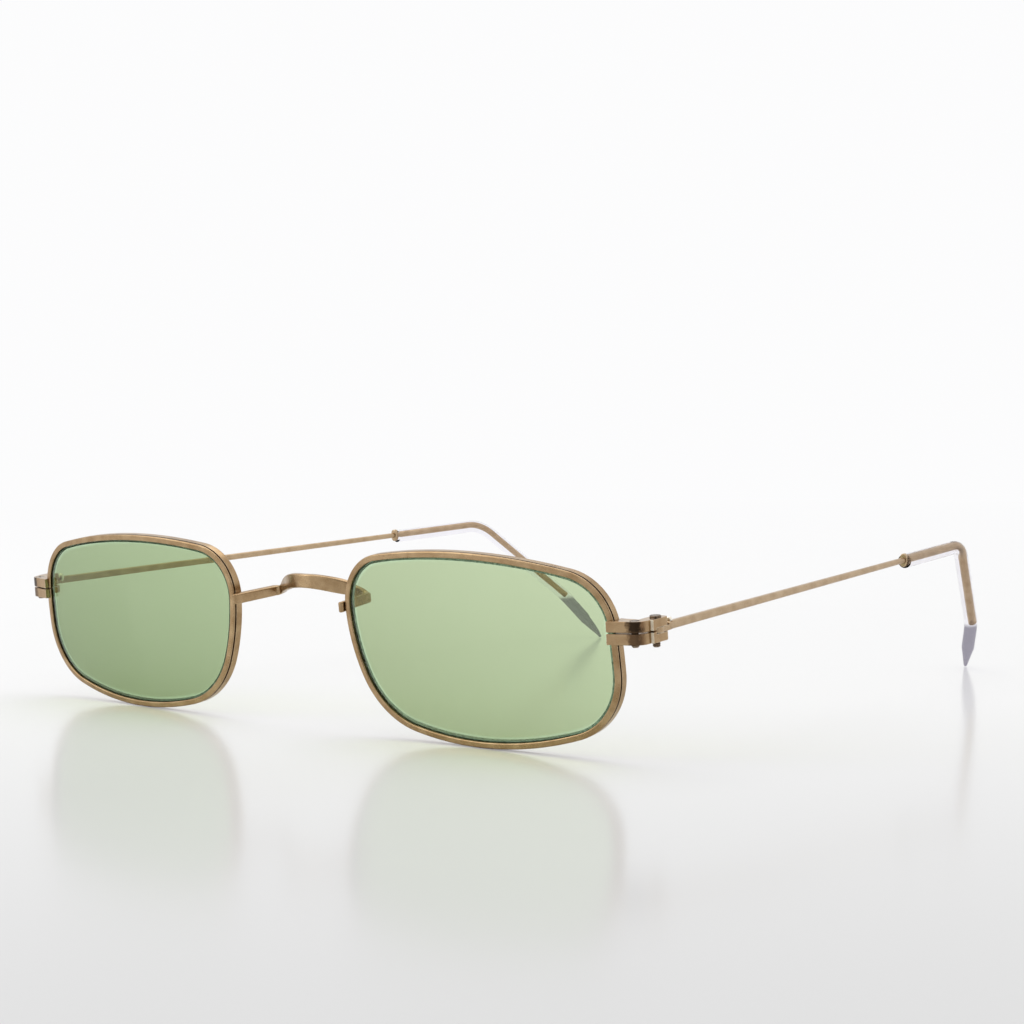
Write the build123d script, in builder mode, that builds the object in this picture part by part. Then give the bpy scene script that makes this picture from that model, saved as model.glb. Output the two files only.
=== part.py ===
from build123d import *
from math import asin, atan2, cos, radians, sin, sqrt, tan
import os

# Narrow rectangle sunglasses: wire rims, a bent strip bridge and thin folding temples.
# The glasses stand open on their rims and on the two ear tips. +Z is up, the front looks along -Y,
# and +X is the wearer's left. The origin is on the table, in the middle of the glasses.

# Lens opening of a rim, seen from the front, with its temple side out and its nose side in
lens_width = 46.0
lens_height = 26.5
temple_side_radius = 67.0
temple_side_apex = -1.7  # how far above the middle the side stands out furthest
nose_side_radius = 27.0
nose_side_apex = 6.2
top_radius = 93.0
top_apex = -3.3  # how far out from the middle the edge is highest
bottom_radius = 57.0
bottom_apex = 0.5
temple_bottom_corner = 9.2
temple_top_corner = 8.0
nose_top_corner = 7.0
nose_bottom_corner = 12.6
lens_gap = 25.4  # between the lens openings, measured flat
base_curve_radius = 160.0
face_form = 3.0  # degrees that each lens is turned back at its temple side
front_tilt = 8.1  # degrees that the top of the front leans forward
hinge_tilt = 5.0  # degrees that the hinge axis leans forward

# Rim wire
rim_lip = 0.92  # wall across the wire, seen from the front
rim_depth = 1.75
rim_edge_round = 0.18
outer_groove_depth = 0.24
outer_groove_front = 0.2
outer_groove_width = 0.32
split_gap = 0.2

# Lens
lens_recess = 0.3  # its front face, behind the rim's front edge
lens_thickness = 1.4
lens_seat_clearance = 0.05
lens_edge_chamfer = 0.28
bevel_reach = 0.42  # beyond the edge of the lens, into the rim
bevel_recess = 0.56
bevel_width = 0.7
bevel_chamfer = 0.22
bevel_clearance = 0.04

# Closing block and hinge, seen from above: out from the temple side of the rim, back from the lens plane
hinge_rise = 3.85  # its parting plane, above the middle of the lens
plate_height = 1.52
block_overlap = 1.12  # how far its inner end lies behind the rim
block_reach = 4.03
block_front = 2.05
block_slope = 1.25  # how much further back its front face is at the bend
block_bend_radius = 2.0
block_flat = 0.43  # straight side between the bend and the knuckle
knuckle_step = 0.2  # from the back of the block to the front of the knuckle
knuckle_stand = 0.45  # of the knuckle, beyond the side of the block
knuckle_width = 2.25
knuckle_setback = 2.05  # of the hinge axis, behind the front of the knuckle
knuckle_reach = 1.7  # from the hinge axis to the end of the knuckle
knuckle_corner = 0.7
plate_edge_round = 0.1
hinge_inset = 1.1  # of the hinge axis, from the outer face of the knuckle
tongue_thickness = 0.75
tongue_clearance = 0.05
tongue_eye_radius = 1.15
tongue_eye_clearance = 0.2
root_width = 0.96
root_height = 1.0
root_length = 0.75
root_gap = 0.15
root_offset = 0.5  # of the temple, out from the hinge axis
root_rise = 0.2  # of the temple, above the parting plane
root_corner = 0.3
root_end_round = 0.25

# Screws
hinge_screw_radius = 0.5
hinge_bore_clearance = 0.03
hinge_head_radius = 0.8
hinge_head_height = 0.3
hinge_end_length = 0.85
closing_inset = 1.65  # from the side of the block
closing_setback = 0.6  # from the corner that the bend rounds
closing_screw_radius = 0.5
closing_bore_clearance = 0.03
closing_head_radius = 0.66
closing_head_depth = 0.5
closing_head_clearance = 0.04
closing_end_length = 0.4
screw_slot_width = 0.22
screw_slot_depth = 0.2
screw_slot_turn = 35.0  # degrees
screw_edge_chamfer = 0.1

# Bridge strip: its line seen from above, then its upper and lower edges seen from the front
strip_thickness = 0.92
strip_edge_round = 0.22
arm_inset = 0.6  # of the arm's end, from the nose side of the rim
arm_front = 0.5
arm_depth = 8.8
loop_inset = 1.25  # of the loop, from the arm's end
loop_radius = 1.0
saddle_depth = 6.3  # how far the middle of the saddle stands in front of the loops
saddle_plan_radius = 9.0
arm_top_rise = 6.0  # above the middle of the lens
arm_height = 1.65
loop_top_inset = 0.4
loop_top_drop = 0.55
loop_top_radius = 1.0
loop_height = 1.45
loop_bottom_inset = 0.25
loop_bottom_radius = 1.2
limb_bottom_inset = 2.0
limb_bottom_lift = 0.85
limb_bottom_radius = 2.0
saddle_lift = 3.15  # of the saddle's top, above the loops
saddle_shoulder = 5.2  # from the middle of the face to the corner that rounds into the top
saddle_top_radius = 13.5
saddle_height = 1.5  # from its top to the corner under it
saddle_bottom_radius = 15.0

# Temple: the bend measured back from the lens plane, then in, back and down to the ear and the tip
temple_start_width = 0.9
temple_start_height = 1.2
temple_start_round = 0.28
core_radius = 0.47
round_share = 0.96  # of the largest round that an edge can take
bend_back = 109.6
bend_inset = 9.4  # from the root of the temple
bend_radius = 8.5
ear_inset = 7.4
ear_run = 18.6
ear_drop = 15.3
ear_radius = 16.0
tip_inset = 4.5
tip_run = 6.2
tip_drop = 8.68
collar_distance = 23.54  # along the temple, from the middle of the collar to the bend

# Tip sleeve and collar
sleeve_radius = 1.15
sleeve_offset = 0.25  # of the sleeve from the wire in it, towards the inside of the bend
sleeve_clearance = 0.03
sleeve_bore_end = 0.1
tip_end_radius = 0.32
tip_taper_length = 5.0
collar_width = 1.35
collar_height = 2.2
collar_length = 0.8
collar_edge_round = 0.12

overrun = 4.0  # how far cutting tools pass beyond what they cut

# The front, tilted: x across, y up along the front, z out of its face
lens_centre_across = lens_gap / 2 + lens_width / 2
temple_side = lens_centre_across + lens_width / 2 + rim_lip
nose_side = lens_centre_across - lens_width / 2 - rim_lip
tip_back = bend_back + ear_run + tip_run
half_eye = lens_height / 2 + rim_lip
eye_sagitta = base_curve_radius - sqrt(base_curve_radius**2 - half_eye**2)
lens_middle_height = half_eye * cos(radians(front_tilt)) - eye_sagitta * sin(radians(front_tilt))
top_lean = half_eye * sin(radians(front_tilt)) - eye_sagitta
front_place = -(tip_back + tip_end_radius - top_lean) / 2
front_plane = Plane(
    origin=(0, front_place, lens_middle_height),
    x_dir=(1, 0, 0),
    z_dir=(0, -cos(radians(front_tilt)), -sin(radians(front_tilt))),
)
back_dir = -front_plane.z_dir
lens_plane = Plane(
    origin=front_plane.from_local_coords((lens_centre_across, 0, 0)),
    x_dir=front_plane.x_dir * cos(radians(face_form)) + back_dir * sin(radians(face_form)),
    z_dir=front_plane.z_dir * cos(radians(face_form)) + front_plane.x_dir * sin(radians(face_form)),
)
ball_centre = lens_plane.from_local_coords((0, 0, -base_curve_radius))


def hinge_plane(rise):
    """A plane square to the hinge axis, at a rise above the parting plane: x across, y back."""
    axis_dir = Vector(0, -sin(radians(hinge_tilt)), cos(radians(hinge_tilt)))
    parting_point = front_plane.from_local_coords((0, hinge_rise, 0))
    return Plane(origin=parting_point + axis_dir * rise, x_dir=(1, 0, 0), z_dir=axis_dir)


# Corner arcs of the lens outline


def corner_arc(centre_a, radius_a, centre_b, radius_b, radius, outward):
    """Centre of an arc that runs inside two circles, touching both, on the side that outward points to."""
    span = centre_b - centre_a
    reach_a = radius_a - radius
    reach_b = radius_b - radius
    along = (span.length**2 + reach_a**2 - reach_b**2) / (2 * span.length)
    across = sqrt(reach_a**2 - along**2)
    foot = centre_a + span.normalized() * along
    side = span.normalized().cross(Vector(0, 0, 1)) * across
    if side.dot(outward) < 0:
        side = -side
    return foot + side


def touch_point(big_centre, big_radius, small_centre, grow):
    """Where a corner arc touches the side arc that it runs into, with both moved out by grow."""
    return big_centre + (small_centre - big_centre).normalized() * (big_radius + grow)


def eye_outline(grow):
    """Draws the lens outline moved out by grow: four side arcs joined by four tangent corner arcs."""
    sides = [
        (Vector(lens_width / 2 - temple_side_radius, temple_side_apex), temple_side_radius),
        (Vector(top_apex, lens_height / 2 - top_radius), top_radius),
        (Vector(nose_side_radius - lens_width / 2, nose_side_apex), nose_side_radius),
        (Vector(bottom_apex, bottom_radius - lens_height / 2), bottom_radius),
    ]
    corners = [
        (temple_bottom_corner, Vector(1, -1)),
        (temple_top_corner, Vector(1, 1)),
        (nose_top_corner, Vector(-1, 1)),
        (nose_bottom_corner, Vector(-1, -1)),
    ]
    centres = []
    for index, (radius, outward) in enumerate(corners):
        before, after = sides[index - 1], sides[index]
        centres.append(corner_arc(*before, *after, radius, outward))
    for index, (side_centre, side_radius) in enumerate(sides):
        following = (index + 1) % len(sides)
        start = touch_point(side_centre, side_radius, centres[index], grow)
        end = touch_point(side_centre, side_radius, centres[following], grow)
        middle_dir = ((start + end) / 2 - side_centre).normalized()
        ThreePointArc(start, side_centre + middle_dir * (side_radius + grow), end)
        next_centre, next_radius = sides[following]
        corner_end = touch_point(next_centre, next_radius, centres[following], grow)
        corner_centre = centres[following]
        corner_radius = corners[following][0] + grow
        corner_dir = ((end + corner_end) / 2 - corner_centre).normalized()
        ThreePointArc(end, corner_centre + corner_dir * corner_radius, corner_end)


def eye_slab(grow, front, back, edge_chamfer=0):
    """The lens outline moved out by grow, between two depths behind the rim's curved front edge."""
    with BuildPart() as slab:
        with BuildSketch(lens_plane):
            with BuildLine():
                eye_outline(grow)
            make_face()
        extrude(amount=rim_depth + overrun, both=True)
        with Locations(ball_centre):
            Sphere(base_curve_radius - front, mode=Mode.INTERSECT)
            Sphere(base_curve_radius - back, mode=Mode.SUBTRACT)
        if edge_chamfer:
            chamfer(slab.edges().filter_by(GeomType.LINE, reverse=True), edge_chamfer)
    return slab.part


def save(piece, name):
    """Label one piece and write it."""
    piece.label = name
    export_step(piece, f"parts/{name}.step")


def save_pair(left_piece, name):
    """Write a left piece, and its mirror image across the middle of the face."""
    save(left_piece.part, f"left_{name}")
    with BuildPart() as right_piece:
        mirror(left_piece.part, about=Plane.YZ)
    save(right_piece.part, f"right_{name}")


os.makedirs("parts", exist_ok=True)

# Places in the closing block and hinge, across and back
block_inner = temple_side - block_overlap
block_outer = temple_side + block_reach
block_corner_back = block_front + block_slope
block_turn = atan2(block_outer - block_inner, block_slope)
knuckle_front = block_corner_back + block_bend_radius * tan(block_turn / 2) + block_flat
block_back = knuckle_front - knuckle_step
knuckle_outer = block_outer + knuckle_stand
knuckle_inner = knuckle_outer - knuckle_width
knuckle_back = knuckle_front + knuckle_setback + knuckle_reach
hinge_across = knuckle_outer - hinge_inset
hinge_back = knuckle_front + knuckle_setback
closing_across = block_outer - closing_inset
closing_back = block_corner_back + closing_setback

# Rim: channel wire round the lens, with a fine groove outside and a split at the hinge
rim_blank = eye_slab(rim_lip, 0, rim_depth)
rim_opening = eye_slab(0, -overrun, rim_depth + overrun)
outer_band = eye_slab(rim_lip + overrun, outer_groove_front, outer_groove_front + outer_groove_width)
outer_keep = eye_slab(rim_lip - outer_groove_depth, -overrun, rim_depth + overrun)
bevel_groove = eye_slab(
    bevel_reach + bevel_clearance,
    bevel_recess - bevel_clearance,
    bevel_recess + bevel_width + bevel_clearance,
    bevel_chamfer,
)
with BuildPart() as outer_groove:
    add(outer_band)
    add(outer_keep, mode=Mode.SUBTRACT)
with BuildPart() as left_rim:
    add(rim_blank)
    add(rim_opening, mode=Mode.SUBTRACT)
    fillet(left_rim.edges().filter_by(GeomType.LINE, reverse=True), rim_edge_round)
    add(outer_groove.part, mode=Mode.SUBTRACT)
    add(bevel_groove, mode=Mode.SUBTRACT)
    with BuildSketch(hinge_plane(0)):
        with Locations((block_outer, block_back / 2)):
            Rectangle(2 * (block_outer - lens_centre_across), block_back + 2 * overrun)
    extrude(amount=split_gap / 2, both=True, mode=Mode.SUBTRACT)
save_pair(left_rim, "rim")

# Lens: a curved blank with a chamfered edge and a bevel that seats in the rim
lens_blank = eye_slab(
    -lens_seat_clearance, lens_recess, lens_recess + lens_thickness, lens_edge_chamfer
)
lens_bevel = eye_slab(bevel_reach, bevel_recess, bevel_recess + bevel_width, bevel_chamfer)
with BuildPart() as left_lens:
    add(lens_blank)
    add(lens_bevel)
save_pair(left_lens, "lens")

# Closing block: two bent plates on the ends of the rim, each with a knuckle of the hinge
eye_envelope = eye_slab(rim_lip, 0, rim_depth + 2 * overrun)
block_half = split_gap / 2 + plate_height
slot_half = tongue_thickness / 2 + tongue_clearance
slot_front = hinge_back - tongue_eye_radius - tongue_eye_clearance
up_the_screws = Axis(front_plane.origin, hinge_plane(0).z_dir)


def endpiece(lower):
    """One half of the closing block. The lower half is the upper one turned over, with plain bores."""
    way = -1 if lower else 1
    inner_face = hinge_plane(way * split_gap / 2)
    with BuildPart() as half:
        with BuildSketch(inner_face) as plan:
            with BuildLine():
                Polyline(
                    (block_inner, block_front),
                    (block_outer, block_corner_back),
                    (block_outer, knuckle_front),
                    (knuckle_outer, knuckle_front),
                    (knuckle_outer, knuckle_back),
                    (knuckle_inner, knuckle_back),
                    (knuckle_inner, block_back),
                    (block_inner, block_back),
                    close=True,
                )
            make_face()
            front_corner = plan.vertices().group_by(Axis.Y)[1].sort_by(Axis.X)[-1]
            fillet(front_corner, block_bend_radius)
            fillet(plan.vertices().group_by(Axis.Y)[-1], knuckle_corner)
        extrude(amount=way * plate_height)
        fillet(half.faces().filter_by(up_the_screws).edges(), plate_edge_round)
        add(eye_envelope, mode=Mode.SUBTRACT)
        with BuildSketch(hinge_plane(0)):
            with Locations((hinge_across, slot_front)):
                Rectangle(
                    2 * (knuckle_outer - knuckle_inner),
                    knuckle_back - slot_front + overrun,
                    align=(Align.CENTER, Align.MIN),
                )
        extrude(amount=way * slot_half, mode=Mode.SUBTRACT)
        with BuildSketch(inner_face):
            with Locations((hinge_across, hinge_back)):
                Circle(hinge_screw_radius + hinge_bore_clearance)
            with Locations((closing_across, closing_back)):
                Circle(closing_screw_radius + closing_bore_clearance)
        extrude(amount=way * (plate_height + overrun), mode=Mode.SUBTRACT)
        if not lower:
            with BuildSketch(hinge_plane(block_half)):
                with Locations((closing_across, closing_back)):
                    Circle(closing_head_radius + closing_head_clearance)
            extrude(amount=-closing_head_depth, mode=Mode.SUBTRACT)
    return half


save_pair(endpiece(lower=False), "upper_endpiece")
save_pair(endpiece(lower=True), "lower_endpiece")


def screw(across, back, head_seat, head_height, head_radius, shank_radius, end_rise):
    """A slotted screw from under its head at head_seat down to end_rise, along the hinge axis."""
    with BuildPart() as bolt:
        with BuildSketch(hinge_plane(head_seat)):
            with Locations((across, back)):
                Circle(head_radius)
        extrude(amount=head_height)
        with BuildSketch(hinge_plane(head_seat)):
            with Locations((across, back)):
                Circle(shank_radius)
        extrude(amount=end_rise - head_seat)
        ends = bolt.faces().filter_by(up_the_screws).sort_by(up_the_screws)
        chamfer(ends[0].edges() + ends[-1].edges(), screw_edge_chamfer)
        with BuildSketch(hinge_plane(head_seat + head_height)):
            with Locations((across, back)):
                Rectangle(2 * head_radius + screw_slot_width, screw_slot_width, rotation=screw_slot_turn)
        extrude(amount=-screw_slot_depth, mode=Mode.SUBTRACT)
    return bolt


hinge_screw = screw(
    hinge_across,
    hinge_back,
    block_half,
    hinge_head_height,
    hinge_head_radius,
    hinge_screw_radius,
    -block_half - hinge_end_length,
)
closing_screw = screw(
    closing_across,
    closing_back,
    block_half - closing_head_depth,
    closing_head_depth,
    closing_head_radius,
    closing_screw_radius,
    -block_half - closing_end_length,
)
save_pair(hinge_screw, "hinge_screw")
save_pair(closing_screw, "closing_screw")

# Bridge: the strip seen from above, kept between its upper and lower edges seen from the front
arm_across = nose_side - arm_inset
loop_across = arm_across - loop_inset
loop_back = arm_front + arm_depth
loop_top_rise = arm_top_rise - loop_top_drop
loop_bottom_rise = loop_top_rise - loop_height
saddle_top_rise = loop_top_rise + saddle_lift
strip_plane = Plane(origin=front_plane.origin, x_dir=front_plane.x_dir, z_dir=front_plane.y_dir)
with BuildPart() as bridge:
    with BuildSketch(strip_plane):
        with BuildLine():
            FilletPolyline(
                (arm_across, arm_front),
                (loop_across, loop_back),
                (0, loop_back - saddle_depth),
                (-loop_across, loop_back),
                (-arm_across, arm_front),
                radius=[loop_radius, saddle_plan_radius, loop_radius],
            )
            offset(amount=strip_thickness / 2)
        make_face()
    extrude(amount=saddle_top_rise)
    with BuildSketch(front_plane) as edges_view:
        with BuildLine():
            upper = FilletPolyline(
                (arm_across + strip_thickness, arm_top_rise),
                (loop_across - loop_top_inset, loop_top_rise),
                (saddle_shoulder, saddle_top_rise),
                (-saddle_shoulder, saddle_top_rise),
                (loop_top_inset - loop_across, loop_top_rise),
                (-arm_across - strip_thickness, arm_top_rise),
                radius=[loop_top_radius, saddle_top_radius, saddle_top_radius, loop_top_radius],
            )
            loop_corner = loop_across - loop_bottom_inset
            limb_corner = loop_corner - limb_bottom_inset
            lower_edge = FilletPolyline(
                (arm_across + strip_thickness, arm_top_rise - arm_height),
                (loop_corner, loop_bottom_rise),
                (limb_corner, loop_bottom_rise + limb_bottom_lift),
                (0, saddle_top_rise - saddle_height),
                (-limb_corner, loop_bottom_rise + limb_bottom_lift),
                (-loop_corner, loop_bottom_rise),
                (-arm_across - strip_thickness, arm_top_rise - arm_height),
                radius=[
                    loop_bottom_radius,
                    limb_bottom_radius,
                    saddle_bottom_radius,
                    limb_bottom_radius,
                    loop_bottom_radius,
                ],
            )
            Line(upper @ 0, lower_edge @ 0)
            Line(upper @ 1, lower_edge @ 1)
        make_face()
    extrude(amount=-(loop_back + overrun), mode=Mode.INTERSECT)
    long_edges = bridge.edges().filter_by(lambda edge: edge.length > strip_thickness)
    fillet(long_edges, strip_edge_round)
    add(rim_blank, mode=Mode.SUBTRACT)
    add(rim_blank.mirror(Plane.YZ), mode=Mode.SUBTRACT)
save(bridge.part, "bridge")

# Temple line: straight from the hinge to the bend, then down to the ear tip on the table
root_across = hinge_across + root_offset
root_back = knuckle_back + root_gap + root_length
root_point = hinge_plane(root_rise).from_local_coords((root_across, root_back, 0))
bend_height = tip_end_radius + tip_drop + ear_drop
bend_point = Vector(root_across - bend_inset, front_place + bend_back, bend_height)
ear_point = bend_point + Vector(-ear_inset, ear_run, -ear_drop)
tip_point = ear_point + Vector(-tip_inset, tip_run, -tip_drop)
temple_dir = (bend_point - root_point).normalized()
leg_dir = (ear_point - bend_point).normalized()
collar_point = bend_point - temple_dir * collar_distance
sleeve_start = collar_point + temple_dir * (collar_length / 2)


def cross_plane(point, along):
    """A plane square to a line at a point, with its x axis level."""
    return Plane(origin=point, x_dir=along.cross(Vector(0, 0, 1)), z_dir=along)


with BuildPart() as temple_wire:
    with BuildSketch(cross_plane(root_point, temple_dir)):
        RectangleRounded(temple_start_width, temple_start_height, temple_start_round)
    with BuildSketch(cross_plane(collar_point, temple_dir)):
        RectangleRounded(2 * core_radius, 2 * core_radius, core_radius * round_share)
    loft()
    with BuildLine():
        FilletPolyline(collar_point, bend_point, ear_point, radius=bend_radius)
    with BuildSketch(cross_plane(collar_point, temple_dir)):
        Circle(core_radius)
    sweep()
save_pair(temple_wire, "temple_wire")

# Tongue: the middle knuckle, with the rounded root that the temple wire is brazed to
with BuildPart() as temple_root:
    with BuildSketch(cross_plane(root_point, temple_dir)):
        RectangleRounded(root_width, root_height, root_corner)
    extrude(amount=-root_length)
    root_end = temple_root.faces().sort_by(Axis(root_point, temple_dir))[0]
    fillet(root_end.edges(), root_end_round)
with BuildPart() as hinge_tongue:
    with BuildSketch(hinge_plane(0)):
        with Locations((hinge_across, hinge_back)):
            Circle(tongue_eye_radius)
        with Locations((root_across, hinge_back)):
            Rectangle(
                root_width,
                knuckle_reach + root_gap + root_length / 2,
                align=(Align.CENTER, Align.MIN),
            )
    extrude(amount=tongue_thickness / 2, both=True)
    add(temple_root.part)
    with BuildSketch(hinge_plane(0)):
        with Locations((hinge_across, hinge_back)):
            Circle(hinge_screw_radius + hinge_bore_clearance)
    extrude(amount=tongue_thickness, both=True, mode=Mode.SUBTRACT)
save_pair(hinge_tongue, "hinge_tongue")

# Collar: a small upright oval ring on the wire that the end of the sleeve butts against
with BuildPart() as tip_collar:
    with BuildSketch(cross_plane(collar_point, temple_dir)):
        Ellipse(collar_width / 2, collar_height / 2)
    extrude(amount=collar_length / 2, both=True)
    fillet(tip_collar.faces().filter_by(GeomType.PLANE).edges(), collar_edge_round)
    with BuildSketch(cross_plane(collar_point, temple_dir)):
        Circle(core_radius + sleeve_clearance)
    extrude(amount=collar_length, both=True, mode=Mode.SUBTRACT)
save_pair(tip_collar, "tip_collar")

# Sleeve: a clear tube over the bent end of the wire, solid and pointed past the wire's end
bend_inside = (leg_dir - temple_dir).normalized()
bend_along = (leg_dir + temple_dir).normalized()


def beside_wire(point, along):
    """The point of the sleeve's middle line beside a point of the wire, where the wire runs along."""
    inside = (bend_inside - along * bend_inside.dot(along)).normalized()
    return point + inside * sleeve_offset


sleeve_bend = bend_point + bend_inside * (sleeve_offset / temple_dir.dot(bend_along))
sleeve_ear = beside_wire(ear_point, leg_dir)
tip_dir = (tip_point - sleeve_ear).normalized()
taper_start = tip_point - tip_dir * tip_taper_length
taper_turn = asin((sleeve_radius - tip_end_radius) / tip_taper_length)
with BuildPart() as tip_sleeve:
    with BuildLine():
        FilletPolyline(
            beside_wire(sleeve_start, temple_dir),
            sleeve_bend,
            sleeve_ear,
            taper_start,
            radius=[bend_radius - sleeve_offset, ear_radius],
        )
    with BuildSketch(cross_plane(beside_wire(sleeve_start, temple_dir), temple_dir)):
        Circle(sleeve_radius)
    sweep()
    with BuildSketch(Plane(taper_start, tip_dir, cross_plane(taper_start, tip_dir).x_dir)):
        with BuildLine():
            taper_side = Polyline(
                (tip_taper_length + tip_end_radius, 0),
                (0, 0),
                (0, sleeve_radius),
                (
                    tip_taper_length + tip_end_radius * sin(taper_turn),
                    tip_end_radius * cos(taper_turn),
                ),
            )
            RadiusArc(taper_side @ 1, taper_side @ 0, tip_end_radius)
        make_face()
    revolve(axis=Axis(taper_start, tip_dir))
    with BuildLine():
        bore_line = FilletPolyline(sleeve_start, bend_point, ear_point, radius=bend_radius)
        Line(bore_line @ 1, (bore_line @ 1) + (bore_line % 1) * sleeve_bore_end)
    with BuildSketch(cross_plane(sleeve_start, temple_dir)):
        Circle(core_radius + sleeve_clearance)
    sweep(mode=Mode.SUBTRACT)
save_pair(tip_sleeve, "tip_sleeve")
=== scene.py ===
"""Narrow rectangle sunglasses: finishes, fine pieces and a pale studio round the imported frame."""

import logging
import math
from dataclasses import dataclass, field
from enum import Enum

import bpy
from mathutils import Matrix, Vector
from mathutils.bvhtree import BVHTree


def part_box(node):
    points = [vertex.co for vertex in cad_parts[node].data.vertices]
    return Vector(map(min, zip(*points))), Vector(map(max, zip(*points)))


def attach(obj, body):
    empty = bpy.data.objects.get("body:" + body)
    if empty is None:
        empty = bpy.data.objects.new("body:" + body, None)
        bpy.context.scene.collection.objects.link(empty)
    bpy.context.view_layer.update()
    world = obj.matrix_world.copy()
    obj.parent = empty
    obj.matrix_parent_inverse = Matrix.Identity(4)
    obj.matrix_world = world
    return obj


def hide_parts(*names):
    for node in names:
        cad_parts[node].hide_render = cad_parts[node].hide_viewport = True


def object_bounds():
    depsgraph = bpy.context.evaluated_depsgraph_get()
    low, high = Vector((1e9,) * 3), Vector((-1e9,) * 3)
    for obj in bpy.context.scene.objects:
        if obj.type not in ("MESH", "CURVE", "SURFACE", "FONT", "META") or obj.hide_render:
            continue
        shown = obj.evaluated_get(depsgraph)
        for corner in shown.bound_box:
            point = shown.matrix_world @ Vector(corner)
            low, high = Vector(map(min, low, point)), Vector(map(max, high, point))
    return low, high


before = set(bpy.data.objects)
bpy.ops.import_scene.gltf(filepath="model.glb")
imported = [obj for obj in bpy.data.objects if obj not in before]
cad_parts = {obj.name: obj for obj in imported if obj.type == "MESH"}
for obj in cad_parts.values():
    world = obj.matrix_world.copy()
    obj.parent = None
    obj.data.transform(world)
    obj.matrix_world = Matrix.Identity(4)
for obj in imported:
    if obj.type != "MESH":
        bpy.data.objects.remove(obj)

logging.basicConfig(level=logging.INFO, format="%(message)s")
log = logging.getLogger("sunglasses")

MM = 0.001
CAD_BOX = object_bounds()
RING_DEPTH = 0.02 * MM  # corners nearer than this along an axis belong to one ring

# A colour, a point in metres, a direction, and where a mask starts and where it is full
Colour = tuple[float, float, float]
Place = tuple[float, float, float]
Way = tuple[float, float, float]
Band = tuple[float, float]

BACKDROP_WHITE: Colour = (0.975, 0.975, 0.98)


class Side(Enum):
    """The wearer's side that a piece belongs to, and its sign along X."""

    LEFT = 1
    RIGHT = -1

    def node(self, name: str) -> str:
        """The full name of this side's node."""
        return f"{self.name.lower()}_{name}"

    @property
    def temple_body(self) -> str:
        """The body that this side's temple belongs to."""
        return f"{self.name.lower()}_temple"


class Ray(Enum):
    """The kinds of ray that a shader can tell apart, by the name of their Light Path output."""

    CAMERA = "Is Camera Ray"
    GLOSSY = "Is Glossy Ray"
    THROUGH = "Is Transmission Ray"
    SHADOW = "Is Shadow Ray"


# Node trees


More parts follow.
